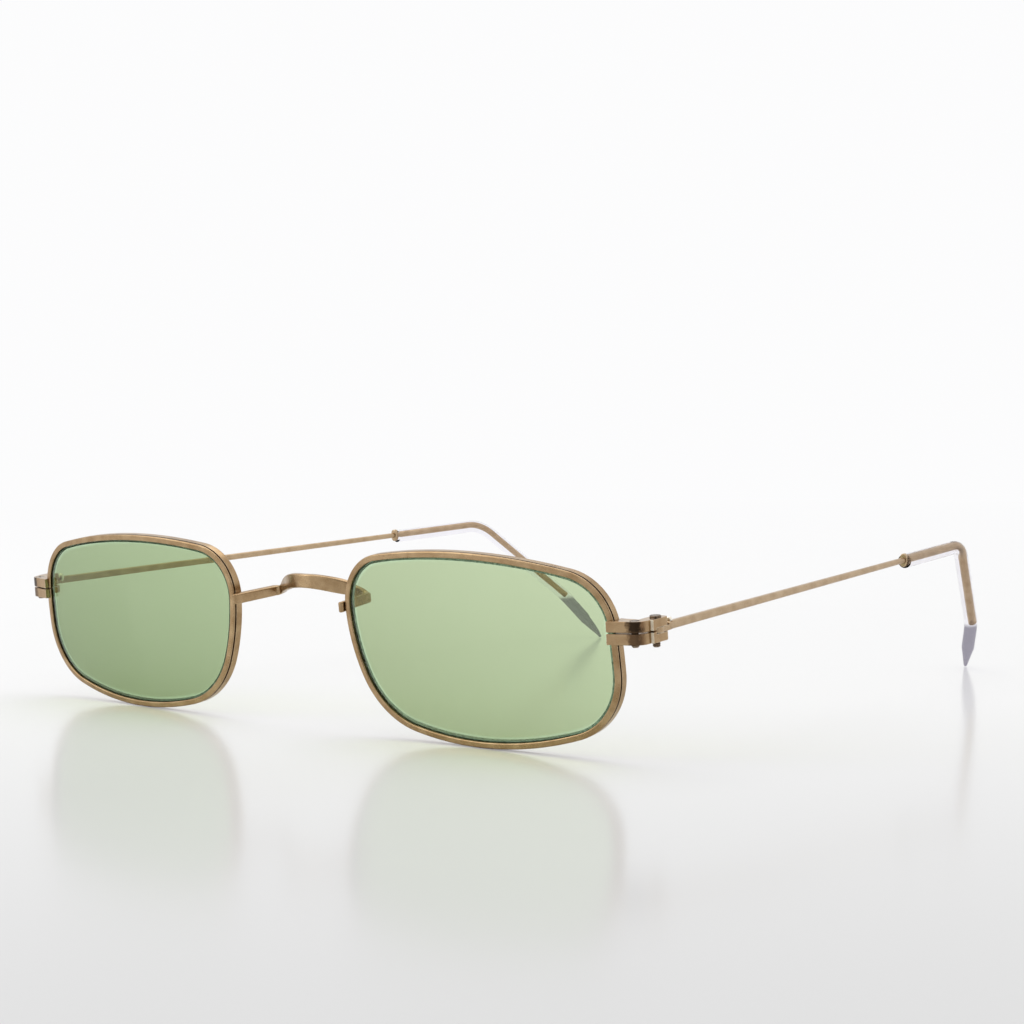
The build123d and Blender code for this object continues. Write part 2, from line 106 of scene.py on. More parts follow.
class Tree:
    """Short ways to add nodes to a tree and to join them."""

    def __init__(self, tree: bpy.types.NodeTree) -> None:
        """Wraps a node tree.

        Args:
            tree: The tree of a material, a world or a node group.
        """
        self.tree = tree

    def add(self, kind: str, **values: object) -> bpy.types.Node:
        """Adds a node.

        Args:
            kind: The node's type name.
            **values: Settings of the node, or values of its inputs by their name with _ for a space.

        Returns:
            The new node.
        """
        node = self.tree.nodes.new(kind)
        for name, value in values.items():
            if hasattr(node, name):
                setattr(node, name, value)
            else:
                node.inputs[name.replace("_", " ")].default_value = value
        return node

    def join(self, source: bpy.types.NodeSocket, target: bpy.types.NodeSocket) -> None:
        """Links one socket to another."""
        self.tree.links.new(source, target)

    def calculate(
        self,
        operation: str,
        first: bpy.types.NodeSocket | float,
        second: bpy.types.NodeSocket | float = 0.0,
        clamp: bool = False,
    ) -> bpy.types.NodeSocket:
        """Adds a Math node.

        Args:
            operation: The Math node's operation.
            first: A socket or a number.
            second: A socket or a number.
            clamp: True to keep the result from 0 to 1.

        Returns:
            The node's result.
        """
        node = self.add("ShaderNodeMath", operation=operation, use_clamp=clamp)
        for slot, value in enumerate((first, second)):
            if isinstance(value, bpy.types.NodeSocket):
                self.join(value, node.inputs[slot])
            else:
                node.inputs[slot].default_value = value
        return node.outputs[0]

    def blend(
        self,
        share: bpy.types.NodeSocket | float,
        low: bpy.types.NodeSocket | Colour,
        high: bpy.types.NodeSocket | Colour,
        kind: str = "MIX",
    ) -> bpy.types.NodeSocket:
        """Adds a Mix node for colours.

        Args:
            share: How much of the second colour there is.
            low: The first colour.
            high: The second colour.
            kind: The blend type.

        Returns:
            The mixed colour.
        """
        node = self.add("ShaderNodeMix", data_type="RGBA", blend_type=kind)
        for slot, value in ((0, share), (6, low), (7, high)):
            if isinstance(value, bpy.types.NodeSocket):
                self.join(value, node.inputs[slot])
            elif slot:
                node.inputs[slot].default_value = (*value, 1.0)
            else:
                node.inputs[slot].default_value = value
        return node.outputs[2]

    def spread(
        self,
        value: bpy.types.NodeSocket,
        low: float,
        high: float,
        new_low: float = 0.0,
        new_high: float = 1.0,
    ) -> bpy.types.NodeSocket:
        """Adds a Map Range node, clamped.

        Args:
            value: The number to map.
            low: Where the old range starts.
            high: Where the old range ends.
            new_low: Where the new range starts.
            new_high: Where the new range ends.

        Returns:
            The mapped number.
        """
        node = self.add("ShaderNodeMapRange")
        self.join(value, node.inputs["Value"])
        limits = (("From Min", low), ("From Max", high), ("To Min", new_low), ("To Max", new_high))
        for name, limit in limits:
            node.inputs[name].default_value = limit
        return node.outputs["Result"]

    def rays(self, *kinds: Ray) -> bpy.types.NodeSocket:
        """One where the ray is any of these kinds, and zero elsewhere.

        Args:
            *kinds: The kinds of ray.

        Returns:
            The sum of their Light Path outputs, from 0 to 1.
        """
        path = self.add("ShaderNodeLightPath")
        total = path.outputs[kinds[0].value]
        for kind in kinds[1:]:
            total = self.calculate("ADD", total, path.outputs[kind.value], clamp=True)
        return total

    def split(self, vector: bpy.types.NodeSocket) -> bpy.types.bpy_prop_collection:
        """Adds a Separate XYZ node and gives its outputs, X, Y and Z."""
        node = self.add("ShaderNodeSeparateXYZ")
        self.join(vector, node.inputs[0])
        return node.outputs

    def reach(self, vector: bpy.types.NodeSocket, way: Way | Vector) -> bpy.types.NodeSocket:
        """Measures how far a vector reaches in a direction.

        Args:
            vector: The vector.
            way: The direction, of length 1.

        Returns:
            Their dot product.
        """
        node = self.add("ShaderNodeVectorMath", operation="DOT_PRODUCT")
        self.join(vector, node.inputs[0])
        node.inputs[1].default_value = way
        return node.outputs["Value"]

    def mix_shaders(
        self, share: bpy.types.NodeSocket, first: bpy.types.NodeSocket, second: bpy.types.NodeSocket
    ) -> bpy.types.NodeSocket:
        """Adds a Mix Shader node.

        Args:
            share: How much of the second shader there is.
            first: The first shader.
            second: The second shader.

        Returns:
            The mixed shader.
        """
        node = self.add("ShaderNodeMixShader")
        for slot, source in enumerate((share, first, second)):
            self.join(source, node.inputs[slot])
        return node.outputs[0]

    def show(self, surface: bpy.types.NodeSocket) -> None:
        """Links a shader to the tree's output, in place of the one that is there."""
        output = next(node for node in self.tree.nodes if node.type.startswith("OUTPUT"))
        self.join(surface, output.inputs["Surface"])


def new_group(name: str, inputs: dict[str, float], outputs: dict[str, str]) -> tuple[Tree, dict, dict]:
    """Makes an empty shader node group.

    Args:
        name: The group's name.
        inputs: The name and default of each number that goes in. Vector is added before them.
        outputs: The name and socket type of each output.

    Returns:
        The group's tree, its input sockets by name and its output sockets by name.
    """
    group = bpy.data.node_groups.new(name, "ShaderNodeTree")
    group.interface.new_socket("Vector", in_out="INPUT", socket_type="NodeSocketVector")
    for label, default in inputs.items():
        socket = group.interface.new_socket(label, in_out="INPUT", socket_type="NodeSocketFloat")
        socket.default_value = default
    for label, kind in outputs.items():
        group.interface.new_socket(label, in_out="OUTPUT", socket_type=kind)
    tree = Tree(group)
    entry = tree.add("NodeGroupInput")
    leave = tree.add("NodeGroupOutput")
    return tree, entry.outputs, leave.inputs


def satin_grain_group() -> bpy.types.NodeTree:
    """The fine blasted grain of plated wire, with broad soft mottling.

    Returns:
        The node group, with outputs Mottle, Grain and Height.
    """
    number = "NodeSocketFloat"
    mottle_band = (0.35, 0.65)
    mottle_relief = 0.4
    tree, given, out = new_group(
        "satin grain",
        {"Grain Scale": 9000.0, "Mottle Scale": 420.0},
        {"Mottle": number, "Grain": number, "Height": number},
    )
    grain = tree.add("ShaderNodeTexNoise", Detail=3.0, Roughness=0.6)
    mottle = tree.add("ShaderNodeTexNoise", Detail=4.0, Roughness=0.55)
    for node, scale in ((grain, "Grain Scale"), (mottle, "Mottle Scale")):
        tree.join(given["Vector"], node.inputs["Vector"])
        tree.join(given[scale], node.inputs["Scale"])
    tree.join(tree.spread(mottle.outputs[0], *mottle_band), out["Mottle"])
    tree.join(grain.outputs[0], out["Grain"])
    height = tree.calculate("MULTIPLY", mottle.outputs[0], mottle_relief)
    tree.join(tree.calculate("ADD", grain.outputs[0], height), out["Height"])
    return tree.tree


def edge_wear_group() -> bpy.types.NodeTree:
    """Where handling has rubbed the plating bright, along the edges.

    Returns:
        The node group, with the output Wear.
    """
    edge_band = (0.985, 0.90)
    patch_band = (0.38, 0.62)
    least_wear = 0.25
    tree, given, out = new_group(
        "edge wear",
        {"Reach": 0.00012, "Patch Scale": 900.0},
        {"Wear": "NodeSocketFloat"},
    )
    rounded = tree.add("ShaderNodeBevel", samples=6)
    tree.join(given["Reach"], rounded.inputs["Radius"])
    surface = tree.add("ShaderNodeNewGeometry")
    likeness = tree.add("ShaderNodeVectorMath", operation="DOT_PRODUCT")
    tree.join(rounded.outputs[0], likeness.inputs[0])
    tree.join(surface.outputs["Normal"], likeness.inputs[1])
    edge = tree.spread(likeness.outputs["Value"], *edge_band)
    patches = tree.add("ShaderNodeTexNoise", Detail=5.0, Roughness=0.6)
    tree.join(given["Vector"], patches.inputs["Vector"])
    tree.join(given["Patch Scale"], patches.inputs["Scale"])
    kept = tree.spread(patches.outputs[0], *patch_band, least_wear, 1.0)
    tree.join(tree.calculate("MULTIPLY", edge, kept, clamp=True), out["Wear"])
    return tree.tree


def fine_dust_group() -> bpy.types.NodeTree:
    """Sparse specks and faint smears.

    Returns:
        The node group, with the outputs Specks and Smear.
    """
    number = "NodeSocketFloat"
    speck_band = (0.06, 0.12)
    rare_above = 0.80
    smear_band = (0.45, 0.75)
    tree, given, out = new_group(
        "fine dust", {"Speck Scale": 2600.0, "Smear Scale": 90.0}, {"Specks": number, "Smear": number}
    )
    specks = tree.add("ShaderNodeTexVoronoi", Randomness=1.0)
    smear = tree.add("ShaderNodeTexNoise", Detail=6.0, Roughness=0.65)
    for node, scale in ((specks, "Speck Scale"), (smear, "Smear Scale")):
        tree.join(given["Vector"], node.inputs["Vector"])
        tree.join(given[scale], node.inputs["Scale"])
    near = tree.spread(specks.outputs["Distance"], *speck_band, 1.0, 0.0)
    rare = tree.calculate("GREATER_THAN", specks.outputs["Color"], rare_above)
    tree.join(tree.calculate("MULTIPLY", near, rare), out["Specks"])
    tree.join(tree.spread(smear.outputs[0], *smear_band), out["Smear"])
    return tree.tree


def painted_shade_group() -> bpy.types.NodeTree:
    """Painted shade in grooves, joints and the corners under heads, where ambient occlusion finds them
    hidden, in uneven patches.

    Returns:
        The node group, whose one output is the painted shade.
    """
    hidden_band = (0.62, 0.20)
    patch_band = (0.3, 0.6)
    least_shade = 0.7
    tree, given, out = new_group(
        "painted hollow shade",
        {"Reach": 0.00045, "Patch Scale": 1500.0},
        {"Crevice": "NodeSocketFloat"},
    )
    hidden = tree.add("ShaderNodeAmbientOcclusion", samples=8, only_local=False)
    tree.join(given["Reach"], hidden.inputs["Distance"])
    deep = tree.spread(hidden.outputs["AO"], *hidden_band)
    patches = tree.add("ShaderNodeTexNoise", Detail=3.0, Roughness=0.6)
    tree.join(given["Vector"], patches.inputs["Vector"])
    tree.join(given["Patch Scale"], patches.inputs["Scale"])
    kept = tree.spread(patches.outputs[0], *patch_band, least_shade, 1.0)
    tree.join(tree.calculate("MULTIPLY", deep, kept, clamp=True), out["Crevice"])
    return tree.tree


@dataclass(frozen=True)
class EffectGroups:
    """The node groups that more than one finish uses."""

    grain: bpy.types.NodeTree
    wear: bpy.types.NodeTree
    dust: bpy.types.NodeTree
    crevice: bpy.types.NodeTree

    @staticmethod
    def build() -> "EffectGroups":
        """Makes all four groups."""
        return EffectGroups(satin_grain_group(), edge_wear_group(), fine_dust_group(), painted_shade_group())


def place_group(
    tree: Tree, group: bpy.types.NodeTree, vector: bpy.types.NodeSocket, values: dict[str, float]
) -> bpy.types.bpy_prop_collection:
    """Places a node group in a material.

    Args:
        tree: The material's tree.
        group: The group.
        vector: The coordinates that it reads.
        values: Values for its named inputs.

    Returns:
        The placed node's outputs.
    """
    node = tree.add("ShaderNodeGroup", node_tree=group)
    tree.join(vector, node.inputs["Vector"])
    for name, value in values.items():
        node.inputs[name].default_value = value
    return node.outputs


def fresh_material(name: str) -> tuple[bpy.types.Material, Tree, bpy.types.Node]:
    """Makes a material that holds an output and one Principled shader.

    Args:
        name: The material's name.

    Returns:
        The material, its tree and its Principled node.
    """
    material = bpy.data.materials.new(name)
    material.use_nodes = True
    material.node_tree.nodes.clear()
    tree = Tree(material.node_tree)
    shader = tree.add("ShaderNodeBsdfPrincipled")
    tree.add("ShaderNodeOutputMaterial")
    tree.show(shader.outputs[0])
    return material, tree, shader


# Finishes


@dataclass(frozen=True)
class PlatedMetal:
    """Satin champagne plating: fine grain, soft mottling, painted shade in the hollows, bright rubbed
    edges, and on closing blocks a painted dark reflection and a painted highlight.

    Attributes:
        name: The material's name.
        colour: The plating where the mottling is light.
        shade: The plating where it is dark.
        rubbed: The edges that handling has worn.
        hollow_shade_colour: The painted shade in the hollows.
        roughness: Its roughness, before grain, wear and smears change it.
        hollow_shade_share: How much of the painted shade shows.
        dark_reflection: How strongly a dark reflection is painted in brown and black on the front of a
            closing block, or 0 for a piece without it.
        relief: How high the grain's bump is.
        reflection_brown_band: How far from the middle of the glasses the painted brown reflection starts,
            and is full.
        reflection_black_end_band: Where the black of the painted reflection starts to fade, and has gone.
        highlight_band: Where the block ends, and the painted highlight on the knuckle starts.
        upper_plate_band: The top of the lower plate, and the foot of the upper one.
        lower_plate_share: How much of that painted black the lower plate has.
        front_band: How far forward a face looks where the painted reflection starts, and is full.
        forward_band: The same for the painted highlight.
        grain_band: The part of the grain's range that changes the roughness.
        smoother: How much smoother than its roughness it gets.
        rougher: How much rougher.
        patch_scale: How fine the painted reflection's ragged outline is.
        patch_drift: How far that outline wanders.
    """

    name: str
    colour: Colour
    shade: Colour
    rubbed: Colour
    hollow_shade_colour: Colour
    roughness: float
    hollow_shade_share: float = 1.0
    dark_reflection: float = 0.0
    grain_scale: float = 9000.0
    mottle_scale: float = 420.0
    wear_reach: float = 0.00012
    hollow_shade_reach: float = 0.00045
    relief: float = 0.000004
    relief_strength: float = 0.6
    dust_share: float = 0.35
    dust_colour: Colour = (0.75, 0.72, 0.66)
    wear_gloss: float = 0.12
    smear_dulling: float = 0.04
    # The colour of the highlight painted on the front of a knuckle.
    highlight_colour: Colour = (0.86, 0.78, 0.62)
    # Colours of the dark reflection painted on a closing block's front.
    reflection_brown: Colour = (0.20, 0.115, 0.06)
    reflection_black: Colour = (0.022, 0.015, 0.010)
    reflection_brown_band: Band = (61.3 * MM, 62.0 * MM)
    reflection_black_end_band: Band = (63.0 * MM, 63.4 * MM)
    highlight_band: Band = (63.55 * MM, 63.62 * MM)
    upper_plate_band: Band = (17.9 * MM, 18.4 * MM)
    lower_plate_share: float = 0.5
    front_band: Band = (-0.25, -0.5)
    forward_band: Band = (-0.6, -0.8)
    grain_band: Band = (0.3, 0.7)
    smoother: float = 0.05
    rougher: float = 0.06
    patch_scale: float = 1900.0
    patch_drift: float = 1.8 * MM

    def build(self, effects: EffectGroups) -> bpy.types.Material:
        """Makes the material.

        Args:
            effects: The shared node groups.

        Returns:
            The material.
        """
        material, tree, shader = fresh_material(self.name)
        place = tree.add("ShaderNodeTexCoord").outputs["Object"]
        grain = place_group(
            tree,
            effects.grain,
            place,
            {"Grain Scale": self.grain_scale, "Mottle Scale": self.mottle_scale},
        )
        wear = place_group(tree, effects.wear, place, {"Reach": self.wear_reach})["Wear"]
        dust = place_group(tree, effects.dust, place, {})
        base = tree.blend(grain["Mottle"], self.shade, self.colour)
        rubbed = tree.blend(wear, base, self.rubbed)
        # Painted shade: hollows that ambient occlusion finds are darkened towards a near-black brown.
        crevice = place_group(tree, effects.crevice, place, {"Reach": self.hollow_shade_reach})["Crevice"]
        shaded_colour = tree.blend(tree.calculate("MULTIPLY", crevice, self.hollow_shade_share), rubbed, self.hollow_shade_colour)
        shader.inputs["Metallic"].default_value = 1.0
        # On a closing block: a painted dark reflection on its front, and a painted highlight on the
        # knuckle.
        if self.dark_reflection:
            knuckle_highlight = self.painted_highlight(tree, place)
            shaded_colour = tree.blend(knuckle_highlight, self.with_dark_reflection(tree, place, shaded_colour), self.highlight_colour)
            # Where the highlight is painted the metal turns non-metallic, so that its pale colour shows as
            # it is.
            tree.join(tree.calculate("SUBTRACT", 1.0, knuckle_highlight), shader.inputs["Metallic"])
        specks = tree.calculate("MULTIPLY", dust["Specks"], self.dust_share)
        dusty = tree.blend(specks, shaded_colour, self.dust_colour)
        tree.join(dusty, shader.inputs["Base Color"])
        smoothest, roughest = self.roughness - self.smoother, self.roughness + self.rougher
        rough = tree.spread(grain["Grain"], *self.grain_band, smoothest, roughest)
        worn = tree.calculate("SUBTRACT", rough, tree.calculate("MULTIPLY", wear, self.wear_gloss))
        dulling = tree.calculate("MULTIPLY", dust["Smear"], self.smear_dulling)
        smeared = tree.calculate("ADD", worn, dulling)
        tree.join(smeared, shader.inputs["Roughness"])
        bump = tree.add("ShaderNodeBump", Strength=self.relief_strength, Distance=self.relief)
        tree.join(grain["Height"], bump.inputs["Height"])
        tree.join(bump.outputs[0], shader.inputs["Normal"])
        return material

    def with_dark_reflection(
        self, tree: Tree, place: bpy.types.NodeSocket, clean: bpy.types.NodeSocket
    ) -> bpy.types.NodeSocket:
        """Paints a dark brown and black reflection on the front of a closing block, darkest where it bends
        back to the hinge.

        Args:
            tree: The material's tree.
            place: Object coordinates.
            clean: The colour without the painted reflection.

        Returns:
            The colour.
        """
        parts = tree.split(place)
        patches = tree.add("ShaderNodeTexNoise", Scale=self.patch_scale, Detail=4.0, Roughness=0.6)
        tree.join(place, patches.inputs["Vector"])
        uneven = tree.calculate("SUBTRACT", patches.outputs[0], 0.5)
        drift = tree.calculate("MULTIPLY", uneven, self.patch_drift)
        out = tree.calculate("ADD", tree.calculate("ABSOLUTE", parts["X"]), drift)
        facing = tree.split(tree.add("ShaderNodeTexCoord").outputs["Normal"])
        front = tree.spread(facing["Y"], *self.front_band, 0.0, self.dark_reflection)
        start = tree.spread(out, *self.reflection_brown_band)
        upper = tree.spread(parts["Z"], *self.upper_plate_band, self.lower_plate_share, 1.0)
        middle = tree.calculate("MULTIPLY", start, upper)
        inner = tree.spread(out, *self.reflection_black_end_band, 1.0, 0.0)
        reflection_black = tree.calculate("MULTIPLY", middle, inner)
        brown_reflected = tree.blend(tree.calculate("MULTIPLY", start, front), clean, self.reflection_brown)
        return tree.blend(tree.calculate("MULTIPLY", reflection_black, front), brown_reflected, self.reflection_black)

    def painted_highlight(self, tree: Tree, place: bpy.types.NodeSocket) -> bpy.types.NodeSocket:
        """Where a bright highlight is painted, on the front of the knuckle beside the block.

        Args:
            tree: The material's tree.
            place: Object coordinates.

        Returns:
            One there, and zero elsewhere.
        """
        facing = tree.split(tree.add("ShaderNodeTexCoord").outputs["Normal"])
        out = tree.calculate("ABSOLUTE", tree.split(place)["X"])
        past_block = tree.spread(out, *self.highlight_band)
        forward = tree.spread(facing["Y"], *self.forward_band)
        return tree.calculate("MULTIPLY", past_block, forward)


def let_light_through(tree: Tree, shader: bpy.types.Node, shadow_tint: Colour) -> None:
    """Lets lamplight straight through a clear shader, with a tint, so that its shadow is pale.

    Args:
        tree: The material's tree.
        shader: Its Principled node.
        shadow_tint: The colour of the light that passes.
    """
    clear = tree.add("ShaderNodeBsdfTransparent")
    clear.inputs["Color"].default_value = (*shadow_tint, 1.0)
    tree.show(tree.mix_shaders(tree.rays(Ray.SHADOW), shader.outputs[0], clear.outputs[0]))


@dataclass(frozen=True)
class LensGlass:
    """Sage glass with coated faces: its tint deepens towards one lower corner, and its dark edge has a
    painted highlight line inside, with the rim's painted shade along its foot.

    Attributes:
        name: The material's name.
        light: The tint at the upper corner on the wearer's left.
        deep: The tint at the lower corner on the wearer's right.
        shadow_tint: The light that it lets into its shadow.
        middle: The lens's middle.
        edge: The dark ground edge, also laid on the front chamfer and along the lens's foot as the rim's
            painted shade.
        chamfer: The pale chamfer at its back, a painted highlight; the front chamfer takes the dark edge
            colour as painted shade.
        rim_highlight_colour: The pale line beside the rim, a painted highlight.
        seat_reach: How near the rim the painted highlight line and the painted shade are.
        shade_band: How open the glass is where the rim's shade on it starts, and is full.
        foot_band: The heights between which that shade grows, towards the lens's foot.
        rim_highlight_band: How open the glass is where the painted highlight line starts, and is full.
        chamfer_band: How squarely a face looks forward or back where the chamfer starts, and is full.
        edge_band: The same for the ground edge.
        marks_band: The part of the grinding marks' range that shows.
        face_way: The direction that the lens looks in.
        bending: Its index of refraction.
        coating: The tint of its reflections, which the coating weakens.
    """

    name: str
    light: Colour
    deep: Colour
    shadow_tint: Colour
    middle: Place
    edge: Colour = (0.020, 0.035, 0.022)
    chamfer: Colour = (0.60, 0.86, 0.74)
    rim_highlight_colour: Colour = (0.60, 0.86, 0.60)
    seat_reach: float = 1.2 * MM
    shade_band: Band = (0.80, 0.70)
    foot_band: Band = (7.0 * MM, 3.0 * MM)
    rim_highlight_band: Band = (0.90, 0.86)
    chamfer_band: Band = (0.94, 0.88)
    edge_band: Band = (0.55, 0.45)
    marks_band: Band = (0.42, 0.66)
    face_way: Way = (0.0, -0.990, -0.141)
    pale_share: float = 0.45
    edge_gain: float = 4.5
    haze: float = 0.012
    frosting: float = 0.38
    bending: float = 1.5
    across_share: float = 0.48
    upward_share: float = 0.52
    marks_scale: tuple[float, float, float] = (3600.0, 500.0, 1700.0)
    coating: float = 0.3
    width: float = 46 * MM
    height: float = 26.5 * MM

    def build(self, effects: EffectGroups) -> bpy.types.Material:
        """Makes the material.

        Args:
            effects: The shared node groups.

        Returns:
            The material.
        """
        material, tree, shader = fresh_material(self.name)
        place = tree.add("ShaderNodeTexCoord")
        near_rim = tree.add("ShaderNodeAmbientOcclusion", samples=24)
        near_rim.inputs["Distance"].default_value = self.seat_reach
        # A pale line painted as a highlight along the rim, where ambient occlusion finds it near.
        rim_highlight = tree.spread(near_rim.outputs["AO"], *self.rim_highlight_band)
        # Painted shade of the rim, growing towards the lens's foot.
        at_foot = tree.spread(tree.split(place.outputs["Object"])["Z"], *self.foot_band)
        seated = tree.spread(near_rim.outputs["AO"], *self.shade_band)
        shaded = tree.calculate("MULTIPLY", seated, at_foot)
        face = self.tinted_face(tree, place.outputs["Object"])
        face = tree.blend(rim_highlight, face, self.rim_highlight_colour)
        forward = tree.reach(place.outputs["Normal"], self.face_way)
        facing = tree.calculate("ABSOLUTE", forward)
        streaks = self.grinding_marks(tree, place.outputs["Object"])
        pale = tuple(part * self.pale_share for part in self.chamfer)
        chamfer = tree.blend(streaks, pale, self.chamfer)
        edge = tree.blend(streaks, self.edge, tuple(part * self.edge_gain for part in self.edge))
        on_chamfer = tree.spread(facing, *self.chamfer_band)
        on_edge = tree.spread(facing, *self.edge_band)
        # The front chamfer is painted dark as shade, the back one pale as a painted highlight.
        front_painted_dark = tree.calculate("GREATER_THAN", forward, 0.0)
        chamfer = tree.blend(front_painted_dark, chamfer, edge)
        ground_colour = tree.blend(on_edge, chamfer, edge)
        # The rim's painted shade is laid on in the dark edge colour.
        face = tree.blend(shaded, face, edge)
        tree.join(tree.blend(on_chamfer, face, ground_colour), shader.inputs["Base Color"])
        dust = place_group(tree, effects.dust, place.outputs["Object"], {"Speck Scale": 1500.0})
        haze = tree.calculate("MULTIPLY", dust["Smear"], self.haze)
        frosted = tree.calculate("MULTIPLY", on_chamfer, self.frosting)
        tree.join(tree.calculate("ADD", haze, frosted), shader.inputs["Roughness"])
        shader.inputs["Transmission Weight"].default_value = 1.0
        shader.inputs["IOR"].default_value = self.bending
        shader.inputs["Specular Tint"].default_value = (self.coating, self.coating, self.coating, 1.0)
        let_light_through(tree, shader, self.shadow_tint)
        return material

    def tinted_face(self, tree: Tree, place: bpy.types.NodeSocket) -> bpy.types.NodeSocket:
        """The tint of the polished faces, deeper towards one lower corner.

        Args:
            tree: The material's tree.
            place: Object coordinates.

        Returns:
            The colour.
        """
        parts = tree.split(place)
        across = tree.calculate("SUBTRACT", parts["X"], self.middle[0])
        along = tree.calculate("MULTIPLY", across, self.across_share / self.width)
        above = tree.calculate("SUBTRACT", parts["Z"], self.middle[2])
        up = tree.calculate("MULTIPLY", above, self.upward_share / self.height)
        share = tree.calculate("ADD", tree.calculate("ADD", along, up), 0.5, clamp=True)
        return tree.blend(share, self.deep, self.light)

    def grinding_marks(self, tree: Tree, place: bpy.types.NodeSocket) -> bpy.types.NodeSocket:
        """Fine marks across the ground edge, left by the wheel.

        Args:
            tree: The material's tree.
            place: Object coordinates.

        Returns:
            A number from 0 to 1.
        """
        stretch = tree.add("ShaderNodeMapping")
        stretch.inputs["Scale"].default_value = self.marks_scale
        tree.join(place, stretch.inputs["Vector"])
        marks = tree.add("ShaderNodeTexNoise", Scale=1.0, Detail=2.0, Roughness=0.7)
        tree.join(stretch.outputs[0], marks.inputs["Vector"])
        return tree.spread(marks.outputs[0], *self.marks_band)


@dataclass(frozen=True)
class ClearPlastic:
    """Clear soft plastic, a little grey with age, with faint ripples.

    Attributes:
        name: The material's name.
        tint: The colour of the plastic.
        shadow_tint: The light that it lets into its shadow.
        tip_tint: The greyer colour of the solid end, below the wire.
        tip_band: The heights between which that colour grows.
        cloud_share: How much of the tint is left in a smear.
        ripple_depth: How high the bump of the ripples is.
        bending: Its index of refraction, lower than a real plastic's.
    """

    name: str
    tint: Colour
    shadow_tint: Colour
    tip_tint: Colour = (0.33, 0.315, 0.37)
    tip_band: Band = (8.9 * MM, 8.1 * MM)
    cloud_share: float = 0.93
    haze: float = 0.06
    ripple_scale: float = 600.0
    ripple_depth: float = 0.00002
    roughness: float = 0.05
    bending: float = 1.15

    def build(self, effects: EffectGroups) -> bpy.types.Material:
        """Makes the material.

        Args:
            effects: The shared node groups.

        Returns:
            The material.
        """
        material, tree, shader = fresh_material(self.name)
        place = tree.add("ShaderNodeTexCoord").outputs["Object"]
        dust = place_group(tree, effects.dust, place, {"Speck Scale": 1500.0, "Smear Scale": 260.0})
        clouded = tuple(part * self.cloud_share for part in self.tint)
        body = tree.blend(dust["Smear"], self.tint, clouded)
        in_tip = tree.spread(tree.split(place)["Z"], *self.tip_band)
        tree.join(tree.blend(in_tip, body, self.tip_tint), shader.inputs["Base Color"])
        haze = tree.calculate("MULTIPLY", dust["Smear"], self.haze)
        tree.join(tree.calculate("ADD", haze, self.roughness), shader.inputs["Roughness"])
        shader.inputs["Transmission Weight"].default_value = 1.0
        shader.inputs["IOR"].default_value = self.bending
        ripples = tree.add("ShaderNodeTexNoise", Scale=self.ripple_scale, Detail=1.0)
        tree.join(place, ripples.inputs["Vector"])
        bump = tree.add("ShaderNodeBump", Strength=0.5, Distance=self.ripple_depth)
        tree.join(ripples.outputs[0], bump.inputs["Height"])
        tree.join(bump.outputs[0], shader.inputs["Normal"])
        let_light_through(tree, shader, self.shadow_tint)
        return material


@dataclass(frozen=True)
class StudioFloor:
    """Glossy white acrylic that fades into the white background, with light falloff painted in, darker
    towards the camera.

    Attributes:
        name: The material's name.
        fade_band: How far from the middle the floor starts to fade, and has become background.
        light_grey: The floor behind the glasses.
        shaded_front_grey: The floor towards the camera, darker as painted light falloff.
        front_way: The direction in which the painted falloff darkens it.
        front_band: How far that way the painted falloff starts to darken it, and is darkest.
        bending: Its index of refraction.
        gloss: Its specular level.
    """

    name: str = "studio_floor"
    fade_band: Band = (0.16, 0.75)
    light_grey: float = 0.97
    shaded_front_grey: float = 0.765
    front_way: Way = (0.614, -0.789, 0.0)
    front_band: Band = (0.02, 0.22)
    roughness: float = 0.16
    bending: float = 1.45
    gloss: float = 0.12

    def build(self) -> bpy.types.Material:
        """Makes the material.

        Returns:
            The material.
        """
        material, tree, shader = fresh_material(self.name)
        place = tree.add("ShaderNodeTexCoord").outputs["Object"]
        # Painted light falloff: the floor's colour darkens towards the camera.
        painted_falloff = tree.spread(tree.reach(place, self.front_way), *self.front_band)
        back_colour = (self.light_grey,) * 3
        front_colour = (self.shaded_front_grey,) * 3
        tree.join(tree.blend(painted_falloff, back_colour, front_colour), shader.inputs["Base Color"])
        shader.inputs["Roughness"].default_value = self.roughness
        shader.inputs["IOR"].default_value = self.bending
        shader.inputs["Specular IOR Level"].default_value = self.gloss
        white = tree.add("ShaderNodeEmission", Strength=1.0)
        white.inputs["Color"].default_value = (*BACKDROP_WHITE, 1.0)
        distance = tree.add("ShaderNodeVectorMath", operation="LENGTH")
        tree.join(place, distance.inputs[0])
        fade = tree.spread(distance.outputs["Value"], *self.fade_band)
        seen = tree.calculate("MULTIPLY", fade, tree.rays(Ray.CAMERA, Ray.GLOSSY, Ray.THROUGH))
        tree.show(tree.mix_shaders(seen, shader.outputs[0], white.outputs[0]))
        return material


CHAMPAGNE = PlatedMetal(
    "champagne_plating",
    colour=(0.45, 0.315, 0.178),
    shade=(0.33, 0.215, 0.110),
    rubbed=(0.80, 0.66, 0.47),
    hollow_shade_colour=(0.035, 0.020, 0.010),
    roughness=0.25,
)
PALE_CHAMPAGNE = PlatedMetal(
    "pale_champagne_plating",
    colour=(0.52, 0.385, 0.245),
    shade=(0.42, 0.295, 0.175),
    rubbed=(0.80, 0.68, 0.52),
    hollow_shade_colour=(0.05, 0.03, 0.016),
    roughness=0.30,
    hollow_shade_share=0.3,
)
BLOCK_CHAMPAGNE = PlatedMetal(
    "block_champagne_plating",
    colour=(0.45, 0.315, 0.178),
    shade=(0.36, 0.235, 0.125),
    rubbed=(0.86, 0.74, 0.56),
    hollow_shade_colour=(0.035, 0.020, 0.010),
    roughness=0.22,
    hollow_shade_share=0.25,
    dark_reflection=0.9,
)
